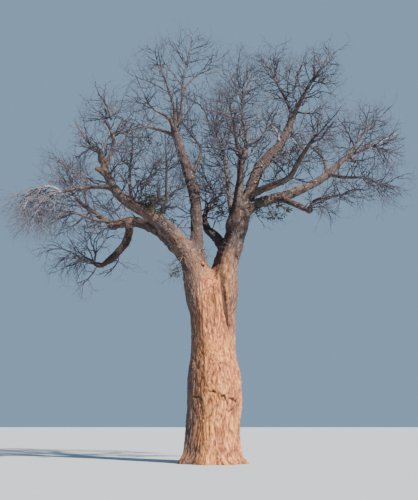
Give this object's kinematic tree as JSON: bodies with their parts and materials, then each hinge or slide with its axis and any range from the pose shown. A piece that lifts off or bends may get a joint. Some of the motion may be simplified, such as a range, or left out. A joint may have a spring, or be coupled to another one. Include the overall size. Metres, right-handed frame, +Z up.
{
  "type": "baobab tree",
  "caption": "Bare baobab tree: a thick waisted trunk forks into two stems, and bent tapering boughs carry a wide, open crown of leafless twigs.",
  "frame": {"origin": "on level ground at the middle of the trunk's foot", "axes": "+Z up; +X to the right and +Y away for someone facing the front of the tree, where the hanging limb is on the left"},
  "size_m": [17.4286, 11.2682, 20.3166],
  "materials": {
    "bark": "rough",
    "twigs": "matte"
  },
  "bodies": {
    "root": {"trunk": "bark", "right_stem": "bark", "upright_bough": "bark", "upper_left_bough": "bark", "lower_left_bough": "bark", "leaning_bough": "bark", "lower_right_bough": "bark", "upper_right_bough": "bark", "slim_bough": "bark", "back_bough": "bark", "centre_front_bough": "bark", "centre_top_bough": "bark", "leaning_left_leader": "bark", "leaning_right_leader": "bark", "right_reach_bough": "bark", "right_rising_bough": "bark", "right_back_bough": "bark", "right_low_bough": "bark", "elbow_inner_bough": "bark", "elbow_outer_bough": "bark", "arch_branch": "bark", "top_leader": "bark", "left_leader": "bark", "left_low_leader": "bark", "right_leader": "bark", "inner_bough": "bark", "left_reach_bough": "bark", "left_twin_bough": "bark", "left_front_bough": "bark", "inner_left_bough": "bark", "back_reach_bough": "bark", "low_reach_bough": "bark", "hanging_limb_upper": "bark", "hanging_limb_lower": "bark", "left_reach_twigs": "twigs", "left_knuckle_twigs": "twigs", "upper_left_twigs": "twigs", "left_front_twigs": "twigs", "inner_left_twigs": "twigs", "back_reach_twigs": "twigs", "low_reach_twigs": "twigs", "hanging_twigs": "twigs", "arch_twigs": "twigs", "left_low_twigs": "twigs", "left_top_twigs": "twigs", "top_twigs": "twigs", "right_leader_twigs": "twigs", "inner_twigs": "twigs", "back_twigs": "twigs", "slim_twigs": "twigs", "centre_front_twigs": "twigs", "centre_top_twigs": "twigs", "leaning_left_twigs": "twigs", "leaning_right_twigs": "twigs", "upper_right_twigs": "twigs", "right_reach_twigs": "twigs", "right_rising_twigs": "twigs", "right_back_twigs": "twigs", "right_low_twigs": "twigs", "elbow_twigs": "twigs"}
  },
  "joints": []
}
